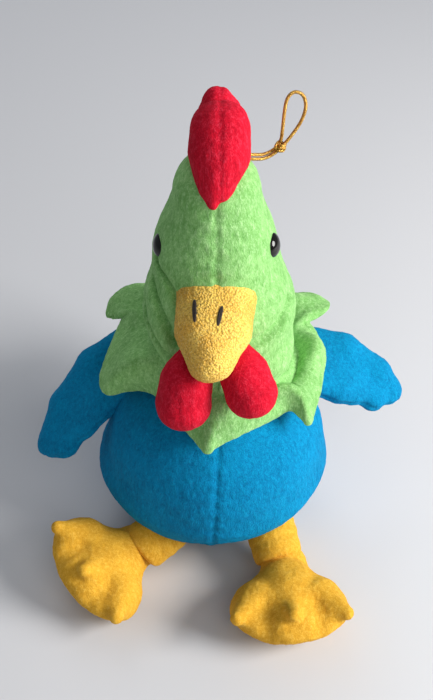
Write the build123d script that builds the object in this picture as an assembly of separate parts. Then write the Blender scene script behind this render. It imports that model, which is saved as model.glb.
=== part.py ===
"""Stuffed plush rooster, sitting, as sewn fabric skins over stuffing, in millimetres.

Frame: +Z up, the rooster faces -Y, and its own left side is +X. The origin is the centre of the
flat seat under the body. Every soft part is a round-ended form made of tapered capsules or a
turned profile. Its skin is the form less the same form drawn in by the fabric's thickness, cut
into panels along the seams, and its stuffing is the form drawn in a little further.
"""
from build123d import *
import os
from math import asin, cos, pi, radians, sin, tan

# ---- fabric and clearances -------------------------------------------------------------
SKIN = 1.2            # plush fabric with its pile
PACKING_GAP = 0.2     # between a skin and its stuffing
LAYER_GAP = 0.05      # between the collar's two layers
SOCKET_GAP = 0.6      # round a limb's root, where the fabric creases as the limb swings
LIMB_GAP = 0.25       # round the length of a limb
LIMB_REACH = 30.0
ROOT_STEP = 0.4       # how far apart the roots of a fan of feathers or toes are set
ROOT_SHRINK = 0.3     # how much smaller each next root is
SPIN_START = 40       # degrees round from +X, where a turned form closes clear of its limbs
WIDE = 400.0          # larger than the whole toy, for cutting tools

# ---- body ------------------------------------------------------------------------------
BODY_R = 51.5
BODY_Z = 48.0         # the ball's centre
SIDE_Z = 76.0         # where the ball ends and the shoulders slope in
SHOULDER_R = 37.0
SHOULDER_Z = 88.8
BASE_PANEL_R = 16.0
BEAN_BAG_R = 24.0
BEAN_BAG_Z = 28.0
BEAN_BAG_FABRIC = 0.6

# ---- neck: a ball of stuffing that the hollow head turns and nods on --------------------
NECK_Z = 98.0
NECK_BALL_R = 26.0
NECK_CUP_R = 26.8
NECK_RIM_SLOPE = 9.0  # degrees above level, the underside of the head

# ---- head ------------------------------------------------------------------------------
HEAD_RIM_R = 33.4
HEAD_SIDES = [(32.2, 126), (24.2, 164), (17, 190)]  # radius and height above the rim

# ---- eyes ------------------------------------------------------------------------------
EYE_R = 5.0
EYE_RISE = 3.6
EYE_Z = 168.0
EYE_TURN = 16.0       # degrees forward of the head's side
EYE_TILT = 0.25       # upward part of the way each eye faces
SHANK_R = 1.7
SHANK_LENGTH = 7.0
WASHER_R = 5.5
WASHER_T = 1.0
WASHER_DEPTH = 2.4
EYE_GAP = 0.1         # round the shank and the washer
SHANK_SINK = 0.5      # how far the shank runs up into the dome

# ---- collar ----------------------------------------------------------------------------
COLLAR_R = 27.5
COLLAR_Z = 89.1
COLLAR_LAYER = 2.1
COLLAR_RISE = 5.5     # from the shoulder's edge out to COLLAR_FAR_R
COLLAR_FAR_R = 60.0
COLLAR_POINTS = [     # the zigzag edge from above: tips and notches, front tip first
    (-4, -46), (13, -43), (31, -25), (38, -29), (46, 0), (42, 15), (39, 19), (49, 28),
    (30, 33), (2, 52), (-28, 33), (-47, 28), (-39, 21), (-46, 14), (-51, -6), (-44, -22),
    (-29, -28),
]

# ---- limbs: pivot, direction and angles, worked from the way the toy sits ---------------
WING_ROOT_R = 8.0
WING_REACH = 46.0
WING_TIP_R = 7.0
WINGS = {  # side: pivot, tip direction, direction of the scalloped edge, swing (low, high)
    "left": ((48.3, 8, 79), (0.77, 0.33, -0.54), (-0.14, -0.72, -0.68), (-8, 45)),
    "right": ((-48, 6, 79), (-0.67, -0.15, -0.73), (0.08, -0.99, 0.13), (-4, 55)),
}
WING_LOBES = [(1.0, -0.05), (0.86, 0.17), (0.66, 0.30)]  # along and across, of the reach

LEG_HIP_R = 12.0
LEG_ANKLE_R = 11.6
ANKLE_BALL_R = 9.6
ANKLE_SETBACK = 3.0    # from the ankle back to the sleeve's mitred end
LEGS = {  # side: hip, ankle, swing (low, high)
    "left": ((25, -31, 19), (30, -48, 11.3), (-30, 15)),
    "right": ((-24, -31, 19), (-38, -40, 11.3), (-30, 15)),
}
FEET = {  # side: forward direction, upward direction
    "left": ((0.12, -0.98, 0.12), (0.0, 0.12, 0.99)),
    "right": ((-0.80, -0.55, 0.25), (0.384, -0.142, 0.915)),
}
PAD_R = 12.5
PAD_REACH = 17.0
WEB_R = 11.0
WEB_SPREAD = 9.0      # to each side of the foot's middle
TOE_ROOT = 13.0       # where the toes start, forward of the ankle
TOE_ROOT_R = 10.5
TOE_R = 8.6
TOES = [(25, -19, 3), (30, 0, 8), (25, 19, 3)]  # forward, sideways, up, to each tip's centre

WATTLES = {  # side: root, tip
    "left": ((7, -33.6, 136), (13.5, -45.6, 127.3)),
    "right": ((-7, -33.6, 136), (-13, -45.2, 121.5)),
}
WATTLE_ROOT_R = 4.5
WATTLE_TIP_R = 10.0
WATTLE_SOCKET_GAP = 0.5

TAIL_PIVOT = (0, 52, 56)
TAIL_ROOT_R = 9.0
TAIL_TIP_R = 6.5
TAIL_TIPS = [(0, 69, 85), (0, 77, 74), (0, 79, 59)]
TAIL_SWING = (-8, 8)

# ---- comb and beak, as tapered capsules --------------------------------------------------
COMB = [
    ((-2, -12, 197), (0, -3, 214), 4.5, 11.0),
    ((0, 3, 212), (1, 14, 212), 9.9, 9.5),
    ((1, 16, 209), (1, 22, 202), 8.0, 6.0),
    ((0, 1, 204), (1, 17.5, 199), 8.2, 6.5),
]
BEAK = [
    ((-5, -24, 157), (-1, -45, 147), 10.0, 7.8),
    ((5, -24, 157), (1, -45, 147), 10.0, 7.8),
]
STITCH_R = 0.5
STITCH_LENGTH = 7.5
STITCHES = [(-8.6, -33.0), (2.0, -34.5)]  # x and y of each nostril stitch's middle
STITCH_SLANT = 0.4
BEAK_SEAM = ((0, -24, 157), (0, -10, 21))  # the gape: a point and the way it faces

# ---- hanging loop: an elastic cord sewn into the seam behind the comb --------------------
CORD_D = 1.3
STRAND_GAP = 0.35     # between the doubled strands
CORD_STEM = [         # the middle of the doubled strands, from the seam to the knot
    (9.4, 12.3, 196.2), (13.8, 16.2, 193.4), (19.0, 18.2, 192.2), (24.4, 19.5, 195.8),
]
CORD_LOOP = [         # the open loop above the knot
    (24.9, 20.6, 203.8), (25.3, 22.2, 209.6), (26.0, 23.4, 214.2), (28.1, 24.3, 216.5),
    (31.0, 24.4, 216.2), (32.9, 23.8, 214.0), (33.4, 22.8, 209.8), (31.1, 21.5, 203.6),
]
KNOT_R = 2.2

# ---- care label -------------------------------------------------------------------------
LABEL = (12, 0.5, 18)
LABEL_AT = (14, 48.1, 15.5)
LABEL_LEAN = 21


def save(name, shape):
    """Write one sub-part's STEP file."""
    export_step(shape, f"parts/{name}.step")


def tapered(start, end, r_start, r_end):
    """Two balls joined by the cone that touches both, as one turned solid."""
    axis = Vector(*end) - Vector(*start)
    length = axis.length
    lean = asin((r_start - r_end) / length)
    low = (0, -r_start)
    low_edge = (r_start * cos(lean), r_start * sin(lean))
    high_edge = (r_end * cos(lean), length + r_end * sin(lean))
    high = (0, length + r_end)
    low_mid_angle = (lean - radians(90)) / 2
    high_mid_angle = (lean + radians(90)) / 2
    low_mid = (r_start * cos(low_mid_angle), r_start * sin(low_mid_angle))
    high_mid = (r_end * cos(high_mid_angle), length + r_end * sin(high_mid_angle))
    outline = Wire([
        Edge.make_three_point_arc(low, low_mid, low_edge),
        Edge.make_line(low_edge, high_edge),
        Edge.make_three_point_arc(high_edge, high_mid, high),
        Edge.make_line(high, low),
    ])
    solid = revolve(Plane.XZ * Face(outline), axis=Axis.Z)
    return Plane(origin=start, z_dir=axis.normalized()) * solid


def blob(members, inset=0.0):
    """The union of tapered capsules, each drawn in by inset."""
    solids = [tapered(p, q, rp - inset, rq - inset) for p, q, rp, rq in members]
    return solids[0] if len(solids) == 1 else solids[0].fuse(*solids[1:])


def half_outline(half_edges, inset=0.0):
    """A half outline (radius, height) as a face, after drawing the whole outline in.

    The edges run from the axis round to the axis again.
    """
    whole = Face(Wire(half_edges + [edge.mirror(Plane.YZ) for edge in half_edges]))
    if inset:
        whole = offset(whole, amount=-inset)
    return (whole & (Pos(WIDE / 2, 0) * Rectangle(WIDE, 2 * WIDE))).face()


def spin(face, start=SPIN_START, sweep=360):
    """Revolve a half outline about Z, from one angle round through the sweep."""
    turn = radians(start)
    plane = Plane(origin=(0, 0, 0), x_dir=(cos(turn), sin(turn), 0),
                  z_dir=(sin(turn), -cos(turn), 0))
    return revolve(plane * face, axis=Axis.Z, revolution_arc=sweep)


def less(shape, tools):
    """A shape with each tool cut from it in turn."""
    for tool in tools:
        shape = shape - tool
    return shape


def arc(*points):
    return Edge.make_three_point_arc(*points)


def body_outline(inset=0.0):
    """Ball with a flat seat, sloping shoulders and the ball of the neck on top."""
    seat_r = (BODY_R ** 2 - BODY_Z ** 2) ** 0.5
    side_r = (BODY_R ** 2 - (SIDE_Z - BODY_Z) ** 2) ** 0.5
    ball_edge = (NECK_BALL_R ** 2 - (NECK_Z - SHOULDER_Z) ** 2) ** 0.5
    diagonal = NECK_BALL_R * cos(radians(30))
    return half_outline([
        Edge.make_line((0, 0), (seat_r, 0)),
        arc((seat_r, 0), (BODY_R, BODY_Z), (side_r, SIDE_Z)),
        Edge.make_line((side_r, SIDE_Z), (SHOULDER_R, SHOULDER_Z)),
        Edge.make_line((SHOULDER_R, SHOULDER_Z), (ball_edge, SHOULDER_Z)),
        arc((ball_edge, SHOULDER_Z), (diagonal, NECK_Z + NECK_BALL_R / 2),
            (0, NECK_Z + NECK_BALL_R)),
    ], inset)


def head_outline(inset=0.0):
    """Tall rounded cone, hollowed underneath to sit over the ball of the neck."""
    slope = radians(NECK_RIM_SLOPE)
    cup_edge = (NECK_CUP_R * cos(slope), NECK_Z + NECK_CUP_R * sin(slope))
    cup_mid = (NECK_CUP_R * sin(radians(40)), NECK_Z + NECK_CUP_R * cos(radians(40)))
    rim = (HEAD_RIM_R, NECK_Z + HEAD_RIM_R * tan(slope))
    sides = [rim] + HEAD_SIDES
    crown_r, crown_z = sides[-1]
    crown_mid = (crown_r * cos(radians(45)), crown_z + crown_r * sin(radians(45)))
    return half_outline([
        arc((0, NECK_Z + NECK_CUP_R), cup_mid, cup_edge),
        Edge.make_line(cup_edge, rim),
        *[Edge.make_line(low, high) for low, high in zip(sides, sides[1:])],
        arc((crown_r, crown_z), crown_mid, (0, crown_z + crown_r)),
    ], inset)


def head_radius(z):
    """The head's outer radius at a height."""
    level = Pos(0, z) * Rectangle(WIDE, 0.01)
    return (head_outline() & level).bounding_box().max.X


def swing_room(pivot, radius, ways):
    """The room for a limb's round root, and for the limb itself where it leans on the body."""
    bore = Pos(0, 0, LIMB_REACH / 2) * Cylinder(radius + LIMB_GAP, LIMB_REACH)
    bores = [Plane(origin=pivot, z_dir=way) * bore for way in ways]
    return [Pos(*pivot) * Sphere(radius + SOCKET_GAP)] + bores


def turned_ways(direction, axis, angles):
    """A direction turned about an axis by each angle in degrees."""
    return [Vector(*direction).rotate(Axis((0, 0, 0), axis), a) for a in angles]


def panels(skin, plane, names):
    """Cut a skin along its seam plane and save both panels."""
    for name, keep in zip(names, (Keep.TOP, Keep.BOTTOM)):
        save(name, split(skin, bisect_by=plane, keep=keep))


def sewn(form, plane, names, stuffing):
    """Save the two panels and the stuffing of a form, a function of how far it is drawn in."""
    panels(form(0) - form(SKIN), plane, names)
    save(stuffing, form(SKIN + PACKING_GAP))


def along(start, direction, distance):
    return Vector(*start) + Vector(*direction).normalized() * distance


def wing_members(side):
    """Three feather lobes fanned from the wing's root."""
    pivot, direction, edge, _ = WINGS[side]
    out = []
    for reach, spread in WING_LOBES:
        tip = along(pivot, direction, WING_REACH * reach)
        tip = tip + Vector(*edge).normalized() * (WING_REACH * spread)
        root = along(pivot, tip - Vector(*pivot), ROOT_STEP * len(out))
        root_r = WING_ROOT_R - ROOT_SHRINK * len(out)
        out.append((tuple(root), tuple(tip), root_r, WING_TIP_R))
    return out


def leg_axis(side):
    """The level axis across a leg, about which it lifts."""
    hip, ankle, _ = LEGS[side]
    run = Vector(*ankle) - Vector(*hip)
    return Vector(run.Y, -run.X, 0).normalized()


def foot_members(side):
    """A round pad on the ankle's ball, with three plump toes."""
    ankle = LEGS[side][1]
    forward, up = (Vector(*v).normalized() for v in FEET[side])
    across = up.cross(forward)
    place = lambda f, s, u: Vector(*ankle) + forward * f - across * s + up * u
    pad = place(PAD_REACH, 0, 0)
    web = [tuple(place(PAD_REACH + 1, side_step, 2)) for side_step in (-WEB_SPREAD, WEB_SPREAD)]
    out = [(ankle, tuple(pad), ANKLE_BALL_R, PAD_R), (web[0], web[1], WEB_R, WEB_R - 0.1)]
    for i, (reach, side_step, rise) in enumerate(TOES):
        root = place(TOE_ROOT + i, side_step / 4, ROOT_STEP * i)
        out.append((tuple(root), tuple(place(reach, side_step, rise)), TOE_ROOT_R, TOE_R))
    return out


def make_body():
    """Body panels, stuffing and bean bag, with a dent where each limb is sewn in."""
    sockets = []
    for side, (pivot, direction, _, swing) in WINGS.items():
        turn = -1 if side == "left" else 1
        ways = turned_ways(direction, (0, turn, 0), (swing[0], 0))
        sockets += swing_room(pivot, WING_ROOT_R, ways)
    for side, (hip, ankle, swing) in LEGS.items():
        run = Vector(*ankle) - Vector(*hip)
        ways = turned_ways(run, tuple(leg_axis(side)), range(swing[0], swing[1] + 1, 15))
        sockets += swing_room(hip, LEG_HIP_R, ways)
    top_feather = Vector(*TAIL_TIPS[0]) - Vector(*TAIL_PIVOT)
    sockets += swing_room(TAIL_PIVOT, TAIL_ROOT_R,
                          turned_ways(top_feather, (1, 0, 0), TAIL_SWING))
    base_cutter = Rot(0, 0, SPIN_START) * Cylinder(BASE_PANEL_R, 4 * SKIN)
    fabric = body_outline() - body_outline(SKIN)
    save("body_base_panel", spin(fabric) & base_cutter)
    quarters = {"body_back_panel": (0, 180), "body_front_right_panel": (180, 90),
                "body_front_left_panel": (270, 90)}
    for name, (start, sweep) in quarters.items():
        save(name, less(spin(fabric, start, sweep), sockets + [base_cutter]))
    stuffing = less(spin(body_outline(SKIN + PACKING_GAP)), sockets)
    bag_place = Pos(0, 0, BEAN_BAG_Z)
    save("body_stuffing", stuffing - bag_place * Sphere(BEAN_BAG_R + PACKING_GAP))
    inside = BEAN_BAG_R - BEAN_BAG_FABRIC
    save("bean_bag", bag_place * (Sphere(BEAN_BAG_R) - Sphere(inside)))
    save("bean_pellets", bag_place * Sphere(inside - PACKING_GAP))
    save("care_label", Pos(*LABEL_AT) * Rot(LABEL_LEAN, 0, 0) * Box(*LABEL))


def tail_members():
    """Three stuffed tail feathers fanned in the middle plane."""
    roots = [along(TAIL_PIVOT, (0, 0.5, 1), ROOT_STEP * i) for i in range(len(TAIL_TIPS))]
    return [(tuple(root), tip, TAIL_ROOT_R - ROOT_SHRINK * i, TAIL_TIP_R)
            for i, (root, tip) in enumerate(zip(roots, TAIL_TIPS))]


def leg_members(side):
    hip, ankle, _ = LEGS[side]
    return [(hip, ankle, LEG_HIP_R, LEG_ANKLE_R)]


def make_collar():
    """Two layers of plush, cut to a zigzag edge and sewn together round it."""
    outline = Polyline(*COLLAR_POINTS, close=True)
    star = extrude(make_face(outline), amount=WIDE)
    for layer, name in enumerate(("collar_lower_layer", "collar_upper_layer")):
        z = COLLAR_Z + layer * (COLLAR_LAYER + LAYER_GAP)
        out = z + COLLAR_RISE
        top = COLLAR_LAYER
        ring = make_face(Polyline(
            (COLLAR_R, z), (SHOULDER_R, z), (COLLAR_FAR_R, out), (COLLAR_FAR_R, out + top),
            (SHOULDER_R, z + top), (COLLAR_R, z + top), close=True))
        save(name, revolve(Plane.XZ * ring, axis=Axis.Z) & star)


def on_head(members):
    """A form sewn onto the head: capsules, less the head itself, so its skin has no base."""
    return lambda inset: blob(members, inset) - spin(head_outline())


def eye_places():
    """A frame at each eye's place on the head, with its Z axis pointing out of the head."""
    radius = head_radius(EYE_Z)
    for side, turn in (("left", -EYE_TURN), ("right", 180 + EYE_TURN)):
        out = Vector(cos(radians(turn)), sin(radians(turn)), EYE_TILT).normalized()
        at = Vector(radius * cos(radians(turn)), radius * sin(radians(turn)), EYE_Z)
        yield side, Plane(origin=at, z_dir=out)


def make_eye(place):
    """A domed plastic eye with its shank, and the washer that locks it inside the head."""
    ball_r = (EYE_R ** 2 + EYE_RISE ** 2) / (2 * EYE_RISE)
    dome = Pos(0, 0, EYE_RISE - ball_r) * Sphere(ball_r)
    dome = dome & (Pos(0, 0, EYE_RISE) * Cylinder(EYE_R, 4 * EYE_RISE))
    shank = Pos(0, 0, SHANK_SINK - SHANK_LENGTH / 2) * Cylinder(SHANK_R, SHANK_LENGTH)
    dome = place * dome - spin(head_outline()) - place * shank
    washer = Cylinder(WASHER_R, WASHER_T) - Cylinder(SHANK_R + EYE_GAP / 2, WASHER_T)
    room = Cylinder(SHANK_R + EYE_GAP, 4 * SHANK_LENGTH)
    washer_room = Cylinder(WASHER_R + 2 * EYE_GAP, WASHER_T + 4 * EYE_GAP)
    washer_room = Pos(0, 0, -WASHER_DEPTH) * washer_room
    return (dome + place * shank, place * Pos(0, 0, -WASHER_DEPTH) * washer,
            place * room, place * washer_room)


def wattle_members(side):
    root, tip = WATTLES[side]
    return [(root, tip, WATTLE_ROOT_R, WATTLE_TIP_R)]


def make_head():
    """Head panels and stuffing, with the eyes let through them and dents for the wattles."""
    cuts, rooms = [], []
    for side, place in eye_places():
        eye, washer, shank_room, washer_room = make_eye(place)
        save(f"{side}_eye", eye)
        save(f"{side}_eye_washer", washer)
        cuts.append(shank_room)
        rooms.append(washer_room)
    for side, (root, _) in WATTLES.items():
        cuts.append(Pos(*root) * Sphere(WATTLE_ROOT_R + WATTLE_SOCKET_GAP))
    fabric = head_outline() - head_outline(SKIN)
    save("head_left_panel", less(spin(fabric, -90, 180), cuts))
    save("head_right_panel", less(spin(fabric, 90, 180), cuts))
    save("head_stuffing", less(spin(head_outline(SKIN + PACKING_GAP)), cuts + rooms))


def beak_top(x, y):
    """A point on the beak's upper surface above (x, y)."""
    column = Line((x, y, 0), (x, y, WIDE))
    hits = blob(BEAK) & column
    return Vector(x, y, hits.bounding_box().max.Z)


def make_beak():
    form = on_head(BEAK)
    sewn(form, Plane(origin=BEAK_SEAM[0], z_dir=BEAK_SEAM[1]),
         ("beak_upper_panel", "beak_lower_panel"), "beak_stuffing")
    stitches = []
    for x, y in STITCHES:
        back = beak_top(x, y + STITCH_LENGTH / 2)
        front = beak_top(x + STITCH_SLANT, y - STITCH_LENGTH / 2)
        lift = Vector(0, -0.3, 1.0).normalized() * (STITCH_R * 2.0)
        stitches.append(tapered(tuple(back + lift), tuple(front + lift), STITCH_R,
                                STITCH_R - 0.02) - blob(BEAK))
    save("nostril_stitches", Compound(children=[Solid(s.solid().wrapped) for s in stitches]))


def strand(side):
    """One strand of the doubled stem, set half a spacing to one side of its middle line."""
    shift = side * (CORD_D + STRAND_GAP) / 2
    return [(x, y + shift * 0.8, z + shift * 0.6) for x, y, z in CORD_STEM]


def cord_route():
    """Out along one strand, round the loop and back along the other."""
    return strand(1) + CORD_LOOP + strand(-1)[::-1]


def corner_radii(route):
    """The largest tangent arc that each corner's two runs leave room for."""
    radii = []
    for a, b, c in zip(route, route[1:], route[2:]):
        before, after = Vector(*b) - Vector(*a), Vector(*c) - Vector(*b)
        turn = radians(before.get_angle(after))
        radii.append(0.45 * min(before.length, after.length) / tan(turn / 2))
    return radii


def make_hanging_loop():
    route = cord_route()
    radii = corner_radii(route)
    path = FilletPolyline(*route, radius=radii)
    start = Plane(origin=route[0], z_dir=Vector(*route[1]) - Vector(*route[0]))
    tube = sweep(start * Circle(CORD_D / 2), path=path)
    save("hanging_loop", tube)
    expected = pi * CORD_D ** 2 / 4 * path.length
    print("cord length", round(path.length, 1), "radii", [round(r, 1) for r in radii])
    print("cord volume", round(tube.volume, 2), "expected", round(expected, 2))
    knot_place = Plane(origin=CORD_STEM[-1], z_dir=(0, 0.2, 1))
    save("loop_knot", knot_place * Sphere(KNOT_R))


def make_limbs():
    for side, (pivot, direction, edge, _) in WINGS.items():
        across = Vector(*direction).cross(Vector(*edge))
        members = wing_members(side)
        sewn(lambda inset: blob(members, inset), Plane(origin=pivot, z_dir=across),
             (f"{side}_wing_upper_panel", f"{side}_wing_lower_panel"),
             f"{side}_wing_stuffing")
    for side in LEGS:
        make_leg(side)
        make_foot(side)
    for side, (root, tip) in WATTLES.items():
        run = Vector(*tip) - Vector(*root)
        seam = Plane(origin=root, z_dir=Vector(1, 0, 0).cross(run))
        members = wattle_members(side)
        sewn(lambda inset: blob(members, inset), seam,
             (f"{side}_wattle_front_panel", f"{side}_wattle_back_panel"),
             f"{side}_wattle_stuffing")
    members = tail_members()
    sewn(lambda inset: blob(members, inset), Plane.YZ,
         ("tail_left_panel", "tail_right_panel"), "tail_stuffing")


def make_leg(side):
    """A tube of fabric, open at the ankle, where it takes the ball of the foot."""
    hip, ankle, _ = LEGS[side]
    run = Vector(*ankle) - Vector(*hip)
    mitre = run.normalized() + Vector(*FEET[side][0]).normalized()
    end = Plane(origin=along(ankle, mitre, -ANKLE_SETBACK), z_dir=mitre)
    beyond = end * Pos(0, 0, LIMB_REACH) * Box(2 * LIMB_REACH, 2 * LIMB_REACH, 2 * LIMB_REACH)
    form = lambda inset: blob(leg_members(side), inset)
    save(f"{side}_leg_sleeve", form(0) - form(SKIN) - beyond)
    ball_room = Pos(*ankle) * Sphere(ANKLE_BALL_R + 3 * SOCKET_GAP)
    save(f"{side}_leg_stuffing", form(SKIN + PACKING_GAP) - ball_room)


def make_foot(side):
    ankle = LEGS[side][1]
    members = foot_members(side)
    up = Vector(*FEET[side][1])
    sewn(lambda inset: blob(members, inset), Plane(origin=ankle, z_dir=up),
         (f"{side}_foot_upper_panel", f"{side}_foot_sole_panel"), f"{side}_foot_stuffing")


if __name__ == "__main__":
    os.makedirs("parts", exist_ok=True)
    make_body()
    make_collar()
    make_head()
    sewn(on_head(COMB), Plane.YZ, ("comb_left_panel", "comb_right_panel"), "comb_stuffing")
    make_beak()
    make_hanging_loop()
    make_limbs()
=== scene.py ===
"""Looks of the stuffed plush rooster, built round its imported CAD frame.

Everything is in the CAD's own frame: +Z up, the rooster faces -Y, and its left side is +X. Shapes
are worked out in millimetres as signed distance fields, meshed, and scaled to metres.
"""
import bpy
import numpy as np
import openvdb
from math import cos, pi, radians, sin
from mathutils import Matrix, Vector


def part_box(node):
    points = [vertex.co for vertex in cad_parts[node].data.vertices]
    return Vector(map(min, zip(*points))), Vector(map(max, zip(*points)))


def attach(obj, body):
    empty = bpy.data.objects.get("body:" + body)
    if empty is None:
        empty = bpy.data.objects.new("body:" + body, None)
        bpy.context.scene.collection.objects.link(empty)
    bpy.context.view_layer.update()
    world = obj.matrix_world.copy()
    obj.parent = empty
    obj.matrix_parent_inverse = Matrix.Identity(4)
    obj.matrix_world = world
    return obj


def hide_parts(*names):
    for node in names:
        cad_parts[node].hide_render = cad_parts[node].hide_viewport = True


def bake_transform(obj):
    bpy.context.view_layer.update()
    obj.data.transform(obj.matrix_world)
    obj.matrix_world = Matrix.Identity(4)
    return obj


MM = 0.001
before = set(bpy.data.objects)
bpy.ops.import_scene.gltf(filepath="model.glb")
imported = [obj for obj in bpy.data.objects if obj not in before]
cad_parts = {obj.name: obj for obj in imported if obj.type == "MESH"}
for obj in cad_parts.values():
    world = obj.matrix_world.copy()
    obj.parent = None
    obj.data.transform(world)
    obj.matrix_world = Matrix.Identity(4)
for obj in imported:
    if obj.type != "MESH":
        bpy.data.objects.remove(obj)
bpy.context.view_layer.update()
COARSE = 1.0


# ---- camera, light and floor -----------------------------------------------------------------
AIM = Vector((0, 0, 0.106))
CAMERA_DISTANCE = 0.430
CAMERA_ELEVATION = radians(45)
SENSOR_HEIGHT = 24.0
LENS = 34.286
FLOOR_HALF = 3.0
FLOOR_DROP = 0.0003     # so that the floor doesn't meet the flat seat exactly
SKY = 0.27
LIGHTS = [  # name, place, aim, disk size, power, colour
    ("window", (0.80, -0.22, 0.50), (0, 0, 0.09), 0.5, 13.4, (1.0, 0.985, 0.96)),
    ("front_fill", (0.35, -0.8, 0.9), (0, 0, 0.1), 0.8, 2.4, (1.0, 0.98, 0.95)),
    ("back_rim", (-0.2, 0.8, 0.9), (0, 0, 0.1), 0.7, 2.5, (0.95, 0.97, 1.0)),
]


def make_camera():
    data = bpy.data.cameras.new("camera")
    data.sensor_fit = "VERTICAL"
    data.sensor_height = SENSOR_HEIGHT
    data.lens = LENS
    data.clip_start = 0.01
    cam = bpy.data.objects.new("camera", data)
    bpy.context.scene.collection.objects.link(cam)
    back = Vector((0, -cos(CAMERA_ELEVATION), sin(CAMERA_ELEVATION)))
    cam.location = AIM + back * CAMERA_DISTANCE
    cam.rotation_euler = (-back).to_track_quat("-Z", "Y").to_euler()
    bpy.context.scene.camera = cam


def area_light(name, at, aim, size, power, colour):
    data = bpy.data.lights.new(name, "AREA")
    data.shape = "DISK"
    data.size = size
    data.energy = power
    data.color = colour
    light = bpy.data.objects.new(name, data)
    bpy.context.scene.collection.objects.link(light)
    light.location = at
    light.rotation_euler = (Vector(aim) - Vector(at)).to_track_quat("-Z", "Y").to_euler()


def make_stage():
    mesh = bpy.data.meshes.new("floor")
    s = FLOOR_HALF
    mesh.from_pydata([(-s, -s, 0), (s, -s, 0), (s, s, 0), (-s, s, 0)], [], [(0, 1, 2, 3)])
    floor = bpy.data.objects.new("floor", mesh)
    bpy.context.scene.collection.objects.link(floor)
    floor.location.z = -FLOOR_DROP
    mat = bpy.data.materials.new("floor")
    mat.use_nodes = True
    shader = mat.node_tree.nodes["Principled BSDF"]
    shader.inputs["Base Color"].default_value = (0.62, 0.62, 0.64, 1)
    shader.inputs["Roughness"].default_value = 0.85
    mesh.materials.append(mat)
    bpy.context.scene.view_settings.view_transform = "Standard"
    world = bpy.data.worlds.new("studio")
    bpy.context.scene.world = world
    world.use_nodes = True
    sky = world.node_tree.nodes["Background"]
    sky.inputs["Color"].default_value = (0.86, 0.92, 1.0, 1)
    sky.inputs["Strength"].default_value = SKY
    for light in LIGHTS:
        area_light(*light)


# ---- materials -------------------------------------------------------------------------------
class Nodes:
    """A short way to write a material's nodes."""

    def __init__(self, name):
        self.mat = bpy.data.materials.new(name)
        self.mat.use_nodes = True
        self.tree = self.mat.node_tree
        self.shader = self.tree.nodes["Principled BSDF"]
        self.coord = self.tree.nodes.new("ShaderNodeTexCoord").outputs["Object"]

    def link(self, value, socket):
        """Join another node's output to a socket, or give the socket a plain value."""
        if isinstance(value, bpy.types.NodeSocket):
            self.tree.links.new(value, socket)
        else:
            socket.default_value = value

    def set(self, **inputs):
        """The shader's inputs, with _ for each space in a name."""
        for name, value in inputs.items():
            self.link(value, self.shader.inputs[name.replace("_", " ")])

    def stretched(self, scale):
        """Coordinates that make a pattern longer where the scale is under 1."""
        node = self.tree.nodes.new("ShaderNodeMapping")
        node.inputs["Scale"].default_value = scale
        self.link(self.coord, node.inputs["Vector"])
        return node.outputs["Vector"]

    def noise(self, scale, detail=2.0, roughness=0.5, where=None, distortion=0.0):
        node = self.tree.nodes.new("ShaderNodeTexNoise")
        node.inputs["Scale"].default_value = scale
        node.inputs["Detail"].default_value = detail
        node.inputs["Roughness"].default_value = roughness
        node.inputs["Distortion"].default_value = distortion
        self.link(where or self.coord, node.inputs["Vector"])
        return node.outputs["Fac"]

    def cells(self, scale):
        node = self.tree.nodes.new("ShaderNodeTexVoronoi")
        node.inputs["Scale"].default_value = scale
        self.link(self.coord, node.inputs["Vector"])
        return node.outputs["Distance"]

    def ramp(self, value, low, high, to_low=0.0, to_high=1.0):
        """A smooth step from to_low to to_high as the value goes from low to high."""
        node = self.tree.nodes.new("ShaderNodeMapRange")
        node.interpolation_type = "SMOOTHSTEP"
        self.link(value, node.inputs["Value"])
        for name, v in zip(("From Min", "From Max", "To Min", "To Max"),
                           (low, high, to_low, to_high)):
            node.inputs[name].default_value = v
        return node.outputs["Result"]

    def math(self, operation, a, b):
        node = self.tree.nodes.new("ShaderNodeMath")
        node.operation = operation
        self.link(a, node.inputs[0])
        self.link(b, node.inputs[1])
        return node.outputs[0]

    def mix(self, factor, a, b):
        node = self.tree.nodes.new("ShaderNodeMix")
        node.data_type = "RGBA"
        self.link(factor, node.inputs["Factor"])
        self.link(a, node.inputs[6])
        self.link(b, node.inputs[7])
        return node.outputs[2]

    def bump(self, height, distance, strength):
        node = self.tree.nodes.new("ShaderNodeBump")
        node.inputs["Strength"].default_value = strength
        node.inputs["Distance"].default_value = distance
        self.link(height, node.inputs["Height"])
        self.link(node.outputs["Normal"], self.shader.inputs["Normal"])


def rgb(code):
    """A hex colour as linear RGBA."""
    out = []
    for i in (1, 3, 5):
        c = int(code[i:i + 2], 16) / 255
        out.append(c / 12.92 if c <= 0.04045 else ((c + 0.055) / 1.055) ** 2.4)
    return (*out, 1.0)


FABRIC_SPECULAR = 0.12


PILE_LAY = (1.0, 1.0, 0.38)     # the pile lies down the toy, so its streaks are long in Z


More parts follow.
